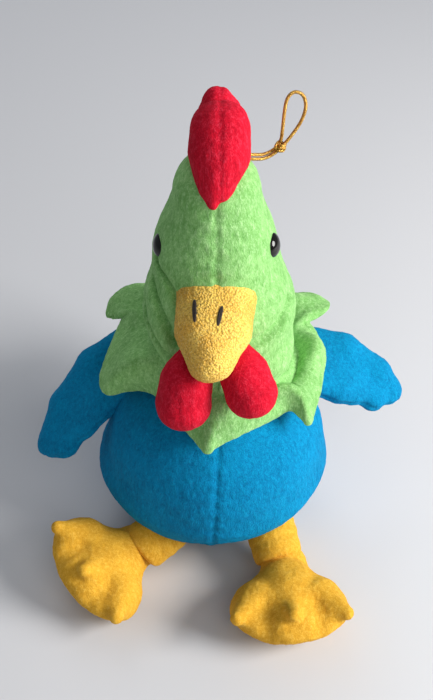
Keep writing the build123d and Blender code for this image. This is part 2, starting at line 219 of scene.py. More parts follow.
def plush(name, painted_shade, body, tip, sheen=0.4, patchy=1.0):
    """Short pile: mottled darker where it is pushed aside, partly its own tone and partly painted
    shade, and streaked the way it lies, with painted shade in the low streaks, painted highlight
    on the raised ones, and sheen.
    """
    n = Nodes(name)
    laid = n.stretched(PILE_LAY)
    patches = n.noise(52, 4, 0.62, distortion=0.8)
    streaks = n.noise(700, 3, 0.62, where=laid)
    fibres = n.noise(2300, 2, 0.7, where=laid)
    grain = n.math("ADD", n.math("MULTIPLY", streaks, 0.5), n.math("MULTIPLY", fibres, 0.5))
    # patches where the pile is pushed aside, darkened towards the shade colour: partly the pile's
    # own tone, partly painted shade
    brushed_shade = n.ramp(patches, 0.36, 0.60, 0.36 * patchy, 0.0)
    colour = n.mix(brushed_shade, rgb(body), rgb(painted_shade))
    # painted highlight on the raised streaks, towards the tip colour, which also tints the sheen;
    # painted shade in the low streaks, towards the shade colour
    colour = n.mix(n.ramp(grain, 0.48, 0.64, 0.0, 0.5), colour, rgb(tip))
    colour = n.mix(n.ramp(grain, 0.36, 0.49, 0.5, 0.0), colour, rgb(painted_shade))
    n.bump(grain, 0.0009, 0.65)
    n.set(Base_Color=colour, Roughness=0.9, Sheen_Weight=sheen, Sheen_Roughness=0.42,
          Sheen_Tint=rgb(tip), Specular_IOR_Level=FABRIC_SPECULAR)
    return n.mat


def terry():
    """Looped terry: rounded nubs, with painted shade in the gaps between them and painted
    highlight on the raised flecks.
    """
    n = Nodes("yellow_terry")
    nubs = n.cells(1150)
    small = n.noise(2100, 2, 0.6)
    patches = n.noise(90, 3, 0.6)
    colour = n.mix(n.ramp(patches, 0.38, 0.62), rgb("#E6B048"), rgb("#F6CB5E"))
    # painted shade in the gaps between the nubs, and painted highlight on the raised flecks
    colour = n.mix(n.ramp(nubs, 0.45, 0.8, 0.0, 0.6), colour, rgb("#B8832C"))
    colour = n.mix(n.ramp(small, 0.50, 0.68, 0.0, 0.65), colour, rgb("#FFE08C"))
    height = n.math("SUBTRACT", n.math("MULTIPLY", small, 0.6), nubs)
    n.bump(height, 0.0008, 0.7)
    n.set(Base_Color=colour, Roughness=0.9, Sheen_Weight=0.2, Sheen_Roughness=0.5,
          Sheen_Tint=rgb("#FBE0A0"), Specular_IOR_Level=FABRIC_SPECULAR)
    return n.mat


def glossy_black():
    n = Nodes("eye_plastic")
    haze = n.noise(420, 3, 0.6)
    n.set(Base_Color=n.mix(haze, rgb("#050505"), rgb("#141210")),
          Roughness=n.ramp(haze, 0.3, 0.8, 0.06, 0.15), IOR=1.42)
    return n.mat


def gold_thread():
    n = Nodes("metallic_elastic")
    glint = n.noise(2600, 2, 0.7)
    wear = n.noise(300, 2, 0.6)
    colour = n.mix(n.ramp(glint, 0.42, 0.62), rgb("#8A5716"), rgb("#F3C766"))
    colour = n.mix(n.ramp(wear, 0.5, 0.75, 0.0, 0.35), colour, rgb("#B8812F"))
    n.bump(glint, 0.0003, 0.8)
    n.set(Base_Color=colour, Metallic=0.75, Roughness=n.ramp(glint, 0.3, 0.7, 0.5, 0.25))
    return n.mat


def brown_thread():
    n = Nodes("nostril_thread")
    twist = n.noise(2400, 2, 0.6)
    n.bump(twist, 0.0002, 0.7)
    n.set(Base_Color=n.mix(n.ramp(twist, 0.35, 0.65), rgb("#0C0706"), rgb("#2E1B12")),
          Roughness=0.7, Sheen_Weight=0.2)
    return n.mat


def satin():
    n = Nodes("label_satin")
    weave = n.noise(2600, 1, 0.5, where=n.stretched((1, 1, 0.15)))
    soil = n.noise(160, 3, 0.6)
    n.bump(weave, 0.0001, 0.6)
    n.set(Base_Color=n.mix(n.ramp(soil, 0.45, 0.8), rgb("#ECEAE2"), rgb("#D8D2C4")),
          Roughness=n.ramp(weave, 0.3, 0.7, 0.35, 0.5), Sheen_Weight=0.3)
    return n.mat


# Colours for each: painted shade, body, and the tip colour for painted highlight and the sheen
# tint
GREEN = plush("green_velboa", "#508B3C", "#8AC172", "#BDE6A6")
BLUE = plush("blue_velboa", "#00527E", "#007FB0", "#0A9FCC", sheen=0.25, patchy=0.6)
RED = plush("red_velboa", "#98081E", "#CB102B", "#E63C55", sheen=0.22, patchy=0.8)
YELLOW = plush("yellow_velboa", "#BC8420", "#DEA632", "#F2C95C", sheen=0.25, patchy=0.8)
TERRY = terry()


# ---- distance fields, in millimetres ---------------------------------------------------------
def vec(*v):
    return np.array(v, np.float32)


def unit(v):
    v = np.array(v, np.float64)
    return (v / np.linalg.norm(v)).astype(np.float32)


def ball(p, at, r):
    return np.linalg.norm(p - vec(*at), axis=1) - r


def egg(p, at, radii):
    q = (p - vec(*at)) / vec(*radii)
    k0 = np.linalg.norm(q, axis=1)
    k1 = np.linalg.norm(q / vec(*radii), axis=1)
    return k0 * (k0 - 1) / np.maximum(k1, 1e-6)


def taper(p, a, b, ra, rb):
    """A tapered capsule."""
    a, b = vec(*a), vec(*b)
    run = b - a
    t = np.clip((p - a) @ run / float(run @ run), 0, 1)
    return np.linalg.norm(p - a - t[:, None] * run, axis=1) - (ra + (rb - ra) * t)


def chain(p, points, soft=3.0):
    """Tapered capsules through points given as (x, y, z, radius)."""
    return join_all([taper(p, a[:3], b[:3], a[3], b[3]) for a, b in zip(points, points[1:])], soft)


def join(a, b, soft):
    """Two fields as one, with a fillet as wide as soft where they meet."""
    h = np.clip(0.5 + 0.5 * (b - a) / soft, 0, 1)
    return b + (a - b) * h - soft * h * (1 - h)


def join_all(fields, soft):
    out = fields[0]
    for field in fields[1:]:
        out = join(out, field, soft)
    return out


def keep(a, b, soft):
    """What a and b share, with a soft edge."""
    return -join(-a, -b, soft)


def to_line(p, points):
    """Distance from each p to a broken line."""
    out = None
    for a, b in zip(points, points[1:]):
        a, b = vec(*a), vec(*b)
        run = b - a
        t = np.clip((p - a) @ run / float(run @ run), 0, 1)
        d = np.linalg.norm(p - a - t[:, None] * run, axis=1)
        out = d if out is None else np.minimum(out, d)
    return out


def groove(distance, depth, width):
    """A seam's narrow valley to add to a field, from the distance to the seam."""
    return depth * np.exp(-(distance / width) ** 2)


def crease(p, points, depth, width):
    """The same along a broken line."""
    return groove(to_line(p, points), depth, width)


class Lattice:
    """Smooth seeded noise from -1 to 1."""

    SIZE = 32

    def __init__(self, seed):
        rng = np.random.default_rng(seed)
        self.values = rng.random((self.SIZE,) * 3).astype(np.float32)

    def __call__(self, p):
        base = np.floor(p).astype(np.int32)
        f = p - base
        f = f * f * (3 - 2 * f)
        out = np.zeros(len(p), np.float32)
        for corner in range(8):
            pick = [(corner >> axis) & 1 for axis in range(3)]
            weight = np.ones(len(p), np.float32)
            for axis in range(3):
                weight = weight * (f[:, axis] if pick[axis] else 1 - f[:, axis])
            i, j, k = ((base[:, axis] + pick[axis]) % self.SIZE for axis in range(3))
            out += weight * self.values[i, j, k]
        return out * 2 - 1


LUMPS = Lattice(7)
TUFTS = Lattice(19)


# ---- meshes ----------------------------------------------------------------------------------
def new_mesh(name, vertices, faces, mat):
    """An object from vertices in millimetres and faces that all have the same corner count."""
    faces = np.asarray(faces, np.int32)
    mesh = bpy.data.meshes.new(name)
    mesh.vertices.add(len(vertices))
    mesh.vertices.foreach_set("co", (np.asarray(vertices, np.float32) * MM).ravel())
    sides = faces.shape[1]
    mesh.loops.add(faces.size)
    mesh.loops.foreach_set("vertex_index", faces.ravel())
    mesh.polygons.add(len(faces))
    mesh.polygons.foreach_set("loop_start", np.arange(0, faces.size, sides, dtype=np.int32))
    mesh.polygons.foreach_set("use_smooth", np.ones(len(faces), bool))
    mesh.update(calc_edges=True)
    mesh.validate()
    mesh.materials.append(mat)
    obj = bpy.data.objects.new(name, mesh)
    bpy.context.scene.collection.objects.link(obj)
    return obj


def coordinates(mesh, what="co"):
    out = np.zeros(len(mesh.vertices) * 3, np.float32)
    mesh.vertices.foreach_get(what, out)
    return out.reshape(-1, 3)


def fluff(obj, tuft=0.16, lump=0.0, tuft_size=1.5, lump_size=11.0, stretch=(1, 1, 0.5)):
    """Move vertices a little along their normals: tufts of pile and soft lumps of stuffing."""
    mesh = obj.data
    co = coordinates(mesh)
    normals = coordinates(mesh, "normal")
    mm = co / MM
    move = tuft * TUFTS(mm * vec(*stretch) / tuft_size + 9.5)
    if lump:
        move += lump * LUMPS(mm / lump_size + 40.3)
    mesh.vertices.foreach_set("co", (co + normals * move[:, None] * MM).ravel())
    mesh.update()


def solid(name, field, low, high, voxel, mat, **fluff_options):
    """Mesh a distance field inside a box, with its pile."""
    voxel = voxel * COARSE
    low = vec(*low)
    axes = [np.arange(low[i], high[i] + voxel, voxel, dtype=np.float32) for i in range(3)]
    where = np.stack(np.meshgrid(*axes, indexing="ij"), -1)
    values = field(where.reshape(-1, 3)).reshape(where.shape[:3]).astype(np.float32)
    grid = openvdb.FloatGrid(1e3)
    grid.copyFromArray(values)
    vertices, quads = grid.convertToQuads(isovalue=0)
    vertices = vertices * voxel + low
    a, b, c = (vertices[quads[:, i]] for i in range(3))
    if np.einsum("ij,ij->i", a, np.cross(b - a, c - a)).sum() < 0:
        quads = quads[:, ::-1]
    obj = new_mesh(name, vertices, quads.astype(np.int32), mat)
    fluff(obj, **fluff_options)
    return obj


def place(obj, body, nodes):
    """Ride on a body and stand for CAD nodes, which are hidden."""
    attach(obj, body)
    finish_piece(nodes)


def finish_piece(nodes):
    """The same without the ride, for a piece that is blended between two bodies."""
    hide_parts(*nodes)


def apply_modifiers(obj, *names):
    for name in names:
        with bpy.context.temp_override(object=obj, active_object=obj):
            bpy.ops.object.modifier_apply(modifier=name)


# ---- hanging loop: an elastic cord, doubled up to a knot -------------------------------------
CORD_D = 1.3
# The doubled stem from the comb's seam to the knot, and the open loop past it: x, y, z
STEM = [(9.4, 12.3, 196.2), (13.8, 16.2, 193.4), (19.0, 18.2, 192.2), (24.4, 19.5, 195.8)]
LOOP = [
    (24.9, 20.6, 203.8), (25.3, 22.2, 209.6), (26.0, 23.4, 214.2), (28.1, 24.3, 216.5),
    (31.0, 24.4, 216.2), (32.9, 23.8, 214.0), (33.4, 22.8, 209.8), (31.1, 21.5, 203.6),
]
HALF_Y, HALF_Z = 0.66, 0.495    # from the doubled stem's middle to one strand's middle
STRANDS, STRAND_R, STRAND_OUT, STRAND_PITCH = 3, 0.26, 0.47, 2.1    # twisted thread on the cord
KNOT_TURNS, KNOT_HEIGHT, KNOT_R = 2.6, 2.8, 1.35


def nurbs(name, points, radius):
    curve = bpy.data.curves.new(name, "CURVE")
    curve.dimensions = "3D"
    curve.resolution_u = 10
    spline = curve.splines.new("NURBS")
    spline.points.add(len(points) - 1)
    for point, (x, y, z) in zip(spline.points, points):
        point.co = (x * MM, y * MM, z * MM, 1)
    spline.order_u = 3
    spline.use_endpoint_u = True
    curve.bevel_depth = radius * MM
    curve.bevel_resolution = 4
    obj = bpy.data.objects.new(name, curve)
    bpy.context.scene.collection.objects.link(obj)
    return obj


def read_line(obj):
    """The points, in millimetres, along a curve with its bevel taken off for the moment."""
    depth, obj.data.bevel_depth = obj.data.bevel_depth, 0.0
    bpy.context.view_layer.update()
    mesh = bpy.data.meshes.new_from_object(
        obj.evaluated_get(bpy.context.evaluated_depsgraph_get()))
    line = coordinates(mesh).astype(np.float64) / MM
    bpy.data.meshes.remove(mesh)
    obj.data.bevel_depth = depth
    return line


def resample(line, step):
    lengths = np.r_[0, np.cumsum(np.linalg.norm(np.diff(line, axis=0), axis=1))]
    where = np.linspace(0, lengths[-1], max(2, int(lengths[-1] / step)))
    return np.stack([np.interp(where, lengths, line[:, i]) for i in range(3)], 1), where


def frames(line):
    """Two directions across a line at each of its points, without twist."""
    along = np.gradient(line, axis=0)
    along /= np.linalg.norm(along, axis=1)[:, None]
    side = np.cross(along[0], (0.3, 0.5, 0.8))
    first, second = [], []
    for t in along:
        side = side - t * (side @ t)
        side = side / np.linalg.norm(side)
        first.append(side)
        second.append(np.cross(t, side))
    return np.array(first), np.array(second)


def tube(line, radius, sides=6):
    """Vertices and quads of a tube along a line, drawn in nearly to a point at each end."""
    first, second = frames(line)
    radii = np.full(len(line), radius)
    radii[[0, -1]] = radius * 0.15
    turns = np.arange(sides) * 2 * pi / sides
    ring = (first[:, None] * np.cos(turns)[None, :, None]
            + second[:, None] * np.sin(turns)[None, :, None])
    vertices = (line[:, None] + ring * radii[:, None, None]).reshape(-1, 3)
    i = np.arange(len(line) - 1)[:, None] * sides
    j = np.arange(sides)[None]
    k = (j + 1) % sides
    quads = np.stack([i + j, i + k, i + k + sides, i + j + sides], -1).reshape(-1, 4)
    return vertices, quads


def gather(parts):
    """Several (vertices, quads) as one."""
    vertices, quads, count = [], [], 0
    for v, q in parts:
        vertices.append(v)
        quads.append(q + count)
        count += len(v)
    return np.concatenate(vertices), np.concatenate(quads)


def make_cord():
    gold = gold_thread()
    one = [(x, y + HALF_Y, z + HALF_Z) for x, y, z in STEM]
    other = [(x, y - HALF_Y, z - HALF_Z) for x, y, z in STEM]
    cord = nurbs("hanging_cord", one + LOOP + other[::-1], CORD_D / 2)
    cord.data.materials.append(gold)
    line, where = resample(read_line(cord), 0.13)
    first, second = frames(line)
    strands = []
    for begin in np.arange(STRANDS) * 2 * pi / STRANDS:
        angle = (where * 2 * pi / STRAND_PITCH + begin)[:, None]
        helix = line + STRAND_OUT * (first * np.cos(angle) + second * np.sin(angle))
        strands.append(tube(helix, STRAND_R, 5))
    thread = new_mesh("hanging_cord_strands", *gather(strands), gold)
    # the knot: a coil round both strands and one turn across them
    centre = np.array(STEM[-1])
    turns = np.linspace(0, 1, 140)[:, None]
    around = turns * 2 * pi * KNOT_TURNS
    up = unit((0.25, 0.2, 1))
    out = unit(np.cross(up, (0, 1, 0)))
    across = np.cross(up, out)
    coil = (centre + up * KNOT_HEIGHT * (turns - 0.5)
            + (out * np.cos(around) + across * np.sin(around)) * KNOT_R)
    lean = turns * 2 * pi
    band = (centre + out * (0.4 + 1.75 * np.cos(lean)) + up * 1.5 * np.sin(lean)
            + across * 1.15 * np.cos(2 * lean))
    knot = new_mesh("hanging_cord_knot",
                    *gather([tube(coil, 0.66, 10), tube(band, 0.62, 10)]), gold)
    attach(cord, "head")
    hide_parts("hanging_loop")
    place(thread, "head", [])
    place(knot, "head", ["loop_knot"])


# ---- body, wings, legs, feet, tail -----------------------------------------------------------
def body_field(p):
    x, y, z = p[:, 0], p[:, 1], p[:, 2]
    d = ball(p, (-0.5, 0.5, 48), 50.6)
    d = join(d, egg(p, (-2, 1, 34), (54.5, 50, 33)), 6)
    d = join(d, taper(p, (0, 1, 58), (2, 1, 78), 42, 25), 8)
    d = join(d, ball(p, (-2, -36, 16), 6), 10)
    # the belly is tucked up in front, where the legs come out
    tuck = np.clip((0.3 * np.abs(x) - y - 8) / 34, 0, 1) * np.clip((38 - z) / 30, 0, 1)
    d = d + (7.2 + 0.04 * x) * tuck + 0.8 * LUMPS(p / 21 + 3.1)
    # the sewn seams: down the front, down the back and down both sides
    d += groove(x + 1.2 * np.sin(z / 21), 0.6, 1.1) * (y < 0) * np.clip((z - 2) / 6, 0, 1)
    d += groove(x, 0.8, 1.2) * (y > 0)
    d += groove(y - 6 - 0.1 * (z - 40), 0.7, 1.3)
    # puckers along the front seam
    d += 0.2 * np.sin(z * 0.9 + 0.6 * np.sign(x)) * np.exp(-(x / 7) ** 2) * (y < 0)
    d = keep(d, 0.25 - z, 5)
    return keep(d, z - 94, 5)


WINGS = {  # three lobes each, hind one first: x, y, z, radius
    "left": [
        [(42, 27, 83, 8.5), (60, 28.5, 78.5, 8.2), (75, 25, 66.5, 8.2), (81.5, 21.5, 58, 7.6)],
        [(42, 17, 81, 8), (62, 17, 70, 8), (73, 14.5, 60.5, 7.6)],
        [(42, 9, 79, 8), (56, 10.5, 71.5, 7.6), (62, 11.5, 67.5, 7)],
    ],
    "right": [
        [(-42, 26, 84, 8.5), (-58, 20, 76.5, 8.2), (-71, 9, 61.5, 8), (-77.5, -2, 46.5, 7.4)],
        [(-42, 15, 81, 8), (-60, 6.5, 67, 8), (-70.5, -5, 49.5, 7.4)],
        [(-42, 6, 78, 8), (-54, 1.5, 68.5, 7.4), (-60.5, -2.5, 60, 6.6)],
    ],
}
WING_FLATTEN = 0.22     # how much thinner than round each lobe is
WING_MARGIN = 11        # round the lobes' points, for the box that is meshed


def wing_field(side):
    lobes = WINGS[side]
    a, b, c = (np.array(point[:3]) for point in (lobes[0][0], lobes[0][-1], lobes[2][-1]))
    face = unit(np.cross(b - a, c - a))
    middle = vec(*a)

    def field(p):
        height = (p - middle) @ face
        flat = p + WING_FLATTEN * height[:, None] * face
        d = join_all([chain(flat, lobe, 3) for lobe in lobes], 4.5)
        d = d + 0.5 * LUMPS(p / 12 + (17 if side == "left" else 31))
        return d + groove(height, 0.8, 1.1)
    return field


def make_wings():
    for side, lobes in WINGS.items():
        points = np.array([q for lobe in lobes for q in lobe])
        low = points[:, :3].min(0) - WING_MARGIN
        high = points[:, :3].max(0) + WING_MARGIN
        wing = solid(f"{side}_wing", wing_field(side), low, high, voxel=0.7, mat=BLUE)
        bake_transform(wing)
        finish_piece([f"{side}_wing_upper_panel",
                     f"{side}_wing_lower_panel", f"{side}_wing_stuffing"])


# The hip and the ankle of each leg
LEGS = {"left": ((25, -31, 19), (30, -48, 11.3)), "right": ((-24, -31, 19), (-38, -40, 11.3))}
LEG_MARGIN = 20
FEET = {  # forward and upward directions
    "left": ((0.06, -0.99, 0.12), (0.0, 0.12, 0.99)),
    "right": ((-0.70, -0.67, 0.25), (0.384, -0.142, 0.915)),
}
FOOT_SHIFT = {"left": (1.4, -4.4, 0.0), "right": (-4.0, 0.5, 0.5)}    # from the ankle
FOOT_MIDDLE, FOOT_MARGIN = 20, 37   # the middle of the meshed box is this far forward
TOES = ((27, -24, 6.5, 9.6), (30, 0, 11.4, 8.0), (27, 24, 6.5, 9.6))  # reach, side, rise, radius
TOE_TIP_R = 3.1


def leg_field(side):
    hip, ankle = (vec(*v) for v in LEGS[side])
    run = unit(ankle - hip)
    sideways = unit(np.cross(run, (0, 0, 1)))
    back = hip - run * 7

    def field(p):
        d = taper(p, back, ankle, 12.2, 11.4)
        d = d + 0.3 * LUMPS(p / 12 + (5 if side == "left" else 23))
        t = (p - hip) @ run
        d += 0.2 * np.sin(t * 1.05 + 0.5 * LUMPS(p / 8)) * np.exp(-((t - 4) / 7) ** 2)
        across = (p - hip) @ sideways
        d += groove(across - 11.5, 0.5, 1.2)
        return keep(d, t - 15.5, 3)
    return field


def foot_field(side):
    ankle = vec(*LEGS[side][1]) + vec(*FOOT_SHIFT[side])
    forward, up = (unit(v) for v in FEET[side])
    up = unit(up - forward * float(up @ forward))
    left = np.cross(up, forward)

    def field(p):
        q = p - ankle
        q = np.stack([q @ forward, q @ left, q @ up], 1)
        d = taper(q, (-5, 0, 1.0), (9, 0, 0.5), 10.6, 12.0)
        d = join(d, egg(q, (17.5, 0, -0.5), (18, 26.5, 10.6)), 7)
        for reach, side_step, rise, thick in TOES:
            toe = taper(q, (16, side_step * 0.62, 1.5), (reach, side_step, rise), thick, TOE_TIP_R)
            d = join(d, toe, 3.2)
        d = d + 0.45 * LUMPS(p / 8 + (11 if side == "left" else 47))
        # hollows between the toes, and the seam round the sole
        for side_step in (-11.5, 11.5):
            d += crease(q, [(23, side_step * 0.95, 8.5), (33, side_step * 1.05, 3)], 2.4, 3.4)
        d += groove(q[:, 2] + 3.4, 0.6, 1.1) * (q[:, 0] > 4)
        d += crease(q, [(-2, -11, 6), (-3, 0, 12), (-2, 11, 6)], 1.1, 2.2)
        return keep(d, 0.25 - p[:, 2], 2.5)
    return field


def make_legs():
    for side, (hip, ankle) in LEGS.items():
        hip, ankle = np.array(hip, float), np.array(ankle, float)
        leg = solid(f"{side}_leg", leg_field(side), np.minimum(hip, ankle) - LEG_MARGIN,
                    np.maximum(hip, ankle) + LEG_MARGIN, voxel=0.7, mat=YELLOW)
        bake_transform(leg)
        finish_piece([f"{side}_leg_sleeve", f"{side}_leg_stuffing"])
        middle = ankle + FOOT_SHIFT[side] + FOOT_MIDDLE * unit(FEET[side][0])
        foot = solid(f"{side}_foot", foot_field(side), middle - FOOT_MARGIN,
                     middle + FOOT_MARGIN, voxel=0.7, mat=YELLOW)
        place(foot, f"{side}_foot", [f"{side}_foot_upper_panel",
              f"{side}_foot_sole_panel", f"{side}_foot_stuffing"])


TAIL_ROOT = (0, 48, 55)
TAIL_TIPS = ((0, 69, 85), (0, 77, 74), (0, 79, 59))


def tail_field(p):
    d = join_all([taper(p, TAIL_ROOT, tip, 9.5, 6.6) for tip in TAIL_TIPS], 2.0)
    d = d + 0.4 * LUMPS(p / 11 + 71)
    return d + groove(p[:, 0], 0.8, 1.1)


def make_body():
    body = solid("body", body_field, (-56, -56, -2), (56, 56, 98), voxel=0.8, mat=BLUE, lump=0.15)
    place(body, "torso",
          ["body_front_left_panel", "body_front_right_panel", "body_back_panel",
           "body_base_panel", "body_stuffing", "bean_bag", "bean_pellets"])
    tail = solid("tail", tail_field, (-13, 34, 42), (13, 90, 96), voxel=0.7, mat=BLUE)
    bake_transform(tail)
    finish_piece(["tail_left_panel", "tail_right_panel", "tail_stuffing"])


# ---- head, comb, beak, wattles, eyes ---------------------------------------------------------
EYE_TURN, EYE_OUT, EYE_Z = 16.0, 21.4, 168.6    # degrees forward, from the middle, height
# A valley (or, where its depth is below 0, a ridge) along each line: points, depth, width
FOLDS = [
    ([(27.5, -8, 143), (23, -17, 139), (18, -22.5, 137), (12, -26.5, 136)], 3.6, 2.7),
    ([(-24, -8, 163), (-20, -15, 160), (-17.7, -18.6, 157), (-15, -22, 153)], 3.6, 2.2),
    ([(-27, -8, 151), (-23.5, -17.4, 145), (-20.5, -21.5, 141), (-17, -25, 135)], 4.6, 2.4),
    ([(-28.5, -4, 138), (-25, -14, 131), (-21, -20, 126), (-16, -25, 122)], 4.4, 2.6),
    ([(-28, -10, 145), (-24.5, -19, 138), (-20.5, -24.5, 131)], -1.6, 3.4),
]
NECK_X = 1.0
FACE_SEAM_END = 150     # the height below which the seam runs down the back only


def neck_core(p):
    """Roughly the plain neck and head, without their folds: the distance from a turned form."""
    x, y = p[:, 0] - NECK_X, p[:, 1]
    return np.hypot(x, y) - np.interp(p[:, 2], [104, 134, 163, 190], [29.4, 29.4, 22.9, 16.9])


def neck_folds(p):
    """The folds, with each of their points first brought onto the neck's surface."""
    total = 0.0
    for points, depth, width in FOLDS:
        points = vec(*points)
        out = (points - vec(NECK_X, 0, 0)) * vec(1, 1, 0)
        out /= np.linalg.norm(out, axis=1)[:, None]
        points = points - out * neck_core(points)[:, None]
        total = total + crease(p, points, depth, width)
    return total


def head_field(p):
    x, y, z = p[:, 0], p[:, 1], p[:, 2]
    d = chain(p, [(3.8, 1, 104, 28.6), (1.0, 0, 134, 29.4), (-0.2, -0.5, 163, 22.8),
                  (0, -1, 190, 16.9)], 8)
    # the loose neck: a pouch low on its left side, and slack folds round the cheeks
    d = join(d, egg(p, (17.5, -9.5, 117.5), (14.2, 15.2, 11)), 5)
    d = d + 0.6 * LUMPS(p / 14 + 8.2)
    d = d + neck_folds(p)
    # seam down the face, and round the back
    d += groove(x, 0.55, 1.2) * (z > FACE_SEAM_END)
    d += groove(x, 0.8, 1.2) * (y > 0) * (z <= FACE_SEAM_END)
    d += 0.3 * np.sin(z * 0.8) * groove(x, 1.0, 5.0) * (z > 160)
    # hollows where the eyes pull the fabric in
    for side in (-1, 1):
        d += groove(ball(p, (side * 22.3, -6.4, EYE_Z), 0), 1.1, 6.5)
    return keep(d, 99.5 - z, 4)


def comb_field(p):
    front = chain(p, [(-1.2, -15.8, 195.5, 2.4), (-0.2, -11.5, 200.5, 6.4), (0.9, -6, 208.5, 10.6),
                      (1.3, -1.5, 216, 11.0)], 3)
    upper = taper(p, (1.3, 6, 213), (0.4, 12.5, 219.6), 7.4, 5.4)
    back = taper(p, (1.2, 14, 213), (1.0, 22, 203), 8.0, 6.2)
    root = taper(p, (0.5, 0, 203), (1, 17.5, 199), 9.0, 6.8)
    d = join(join(front, upper, 1.2), back, 2.5)
    d = join(d, root, 4)
    d = d + 0.45 * LUMPS(p / 9 + 61)
    return d + groove(p[:, 0] - 1.2, 0.4, 1.1)


def beak_field(p):
    halves = [chain(p, [(6.8 * side, -19.5, 154.5, 8.8), (5.6 * side - 0.8, -34, 149.8, middle),
                        (1.8 * side - 2.4, -46.3, 145.4, 6.3)], 3)
              for side, middle in ((-1, 8.9), (1, 8.0))]
    d = join(join_all(halves, 5), taper(p, (0, -19, 157.2), (-1.5, -43, 148.2), 8.2, 6.8), 7)
    d = d + 0.3 * LUMPS(p / 7 + 90)
    gape = (p - vec(0, -24, 157)) @ unit((0, -10, 21)) + 5.5
    return d + groove(gape, 0.9, 1.0)


WATTLES = {  # from the root down: x, y, z, radius
    "left": [(7.2, -34, 139, 6.0), (10.4, -40.3, 134, 8.8), (13.4, -44.8, 128, 10.4)],
    "right": [(-7.6, -34.5, 139, 6.0), (-11.4, -40.8, 130.5, 9.4), (-13.0, -44.4, 121.6, 11.2)],
}


def wattle_field(side):
    points = WATTLES[side]
    face = unit(np.cross(vec(1, 0, 0), vec(*points[-1][:3]) - vec(*points[0][:3])))

    def field(p):
        d = chain(p, points, 4) + 0.4 * LUMPS(p / 8 + (2 if side == "left" else 13))
        return d + groove((p - vec(*points[1][:3])) @ face, 0.6, 1.1)
    return field


EYE_R, EYE_DOME = 5.0, 3.3


def make_eyes():
    """A domed eye with its shank and washer, turned as one lathe form, for each side."""
    black = glossy_black()
    # radius and height, from the washer's middle out round it and up the shank to the dome
    profile = [(0.02, -7.6), (5.4, -7.6), (5.5, -6.6), (1.8, -6.4), (1.7, -0.9), (4.4, -0.8),
               (EYE_R, -0.3)]
    profile += [(EYE_R * cos(a), 0.35 + EYE_DOME * sin(a))
                for a in np.linspace(0, pi / 2 - 0.02, 16)]
    count = 56
    for side, turn in (("left", -EYE_TURN), ("right", 180 + EYE_TURN)):
        out = Vector((cos(radians(turn)), sin(radians(turn)), 0.25)).normalized()
        at = Vector((cos(radians(turn)) * EYE_OUT, sin(radians(turn)) * EYE_OUT, EYE_Z))
        turn_to = out.to_track_quat("Z", "Y").to_matrix()
        vertices = []
        for r, h in profile:
            for k in range(count):
                a = 2 * pi * k / count
                vertices.append(at + turn_to @ Vector((r * cos(a), r * sin(a), h)))
        quads = [(i * count + k, i * count + (k + 1) % count,
                  (i + 1) * count + (k + 1) % count, (i + 1) * count + k)
                 for i in range(len(profile) - 1) for k in range(count)]
        eye = new_mesh(f"{side}_safety_eye", [tuple(v) for v in vertices], quads, black)
        place(eye, "head", [f"{side}_eye", f"{side}_eye_washer"])


def surface_point(field, start, way, reach=60.0):
    """Where a ray from outside first meets a field's surface."""
    start, way = vec(*start), unit(way)
    steps = np.arange(0, reach, 0.05, dtype=np.float32)
    values = field(start + steps[:, None] * way)
    return start + steps[int(np.argmax(values < 0))] * way


def make_stitches():
    thread = brown_thread()
    parts = []
    for x, y, slant, half in ((-8.1, -33.6, 0.1, 5.2), (1.3, -36.2, -0.9, 4.2)):
        for strand in range(5):
            line = []
            for t in np.linspace(-1, 1, 17):
                px = x + slant * t + (strand - 2) * 0.3 * (1 - t * t) ** 0.7
                at = surface_point(beak_field, (px, y - half * t, 185), (0, 0, -1))
                dip = 0.8 * abs(t) ** 6
                line.append(at + vec(0, 0, 0.12 + 0.1 * (strand % 2) - dip))
            parts.append(tube(np.array(line, float), 0.27, 6))
    stitches = new_mesh("nostril_stitching", *gather(parts), thread)
    place(stitches, "head", ["nostril_stitches"])


def make_head():
    head = solid("head", head_field, (-36, -36, 97), (40, 36, 210), voxel=0.75, mat=GREEN,
                 lump=0.12)
    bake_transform(head)
    finish_piece(["head_left_panel", "head_right_panel", "head_stuffing"])
    comb = solid("comb", comb_field, (-17, -24, 186), (18, 33, 229), voxel=0.6, mat=RED)
    place(comb, "head",
          ["comb_left_panel", "comb_right_panel", "comb_stuffing"])
    beak = solid("beak", beak_field, (-21, -58, 132), (21, -4, 173), voxel=0.5, mat=TERRY,
                 tuft_size=0.9, stretch=(1, 1, 1))
    place(beak, "head",
          ["beak_upper_panel", "beak_lower_panel", "beak_stuffing"])
    for side, left, right in (("left", -2, 28), ("right", -28, 2)):
        wattle = solid(f"{side}_wattle", wattle_field(side), (left, -60, 98), (right, -24, 146),
                       voxel=0.6, mat=RED)
        place(wattle, f"{side}_wattle", [f"{side}_wattle_front_panel",
              f"{side}_wattle_back_panel", f"{side}_wattle_stuffing"])
    make_eyes()
    make_stitches()


